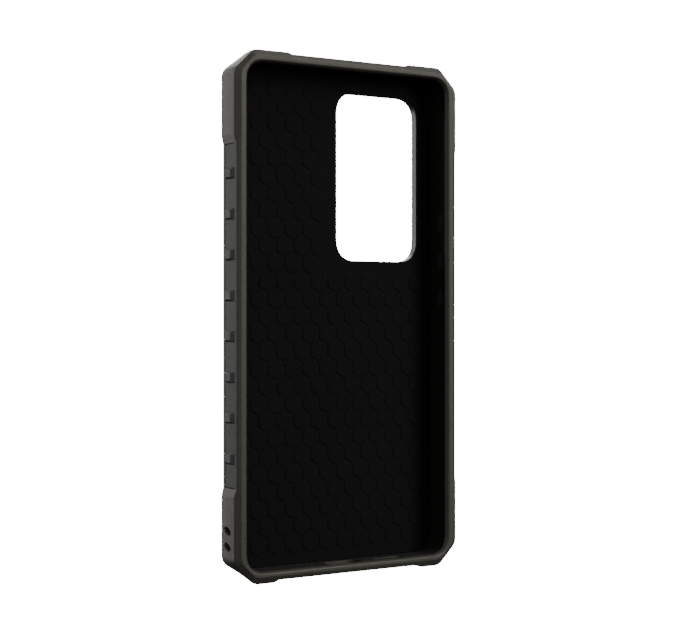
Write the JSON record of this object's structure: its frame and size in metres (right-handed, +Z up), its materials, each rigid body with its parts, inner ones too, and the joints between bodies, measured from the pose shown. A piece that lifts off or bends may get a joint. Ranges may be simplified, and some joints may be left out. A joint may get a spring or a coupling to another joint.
{
  "type": "phone case",
  "caption": "Rugged case for a large flat-sided phone: soft frame with thick cut corners and a raised lip, hard back, grip rails, camera guard and side keys.",
  "frame": {"origin": "middle of the footprint, on the surface that the case stands on", "axes": "+Z up along the case's height, -Y out of the screen side, +Y out of the back, +X to the right as the screen is seen"},
  "size_m": [0.0868, 0.0144, 0.1693],
  "materials": {
    "soft_frame": "matte olive-grey thermoplastic rubber with a fine grain",
    "hard_shell": "fine-textured neutral dark grey polycarbonate",
    "hard_guard": "satin charcoal polycarbonate",
    "hard_rail": "fine-textured neutral dark grey polycarbonate",
    "key": "satin dark grey polycarbonate",
    "liner": "short black microfibre nap"
  },
  "bodies": {
    "case": {"bumper_frame": "soft_frame", "back_plate": "hard_shell", "liner_pad": "liner", "camera_guard": "hard_guard", "left_rail": "hard_rail", "right_rail": "hard_rail"},
    "volume_up": {"volume_up_key": "key"},
    "volume_down": {"volume_down_key": "key"},
    "power": {"power_key": "key"}
  },
  "joints": [
    {"name": "volume_up_press", "type": "slide", "parent": "case", "child": "volume_up", "axis": [-1, 0, 0], "range_m": [0, 0.0005], "stiffness_N_per_m": 1500},
    {"name": "volume_down_press", "type": "slide", "parent": "case", "child": "volume_down", "axis": [-1, 0, 0], "range_m": [0, 0.0005], "stiffness_N_per_m": 1500},
    {"name": "power_press", "type": "slide", "parent": "case", "child": "power", "axis": [-1, 0, 0], "range_m": [0, 0.0005], "stiffness_N_per_m": 1500}
  ]
}
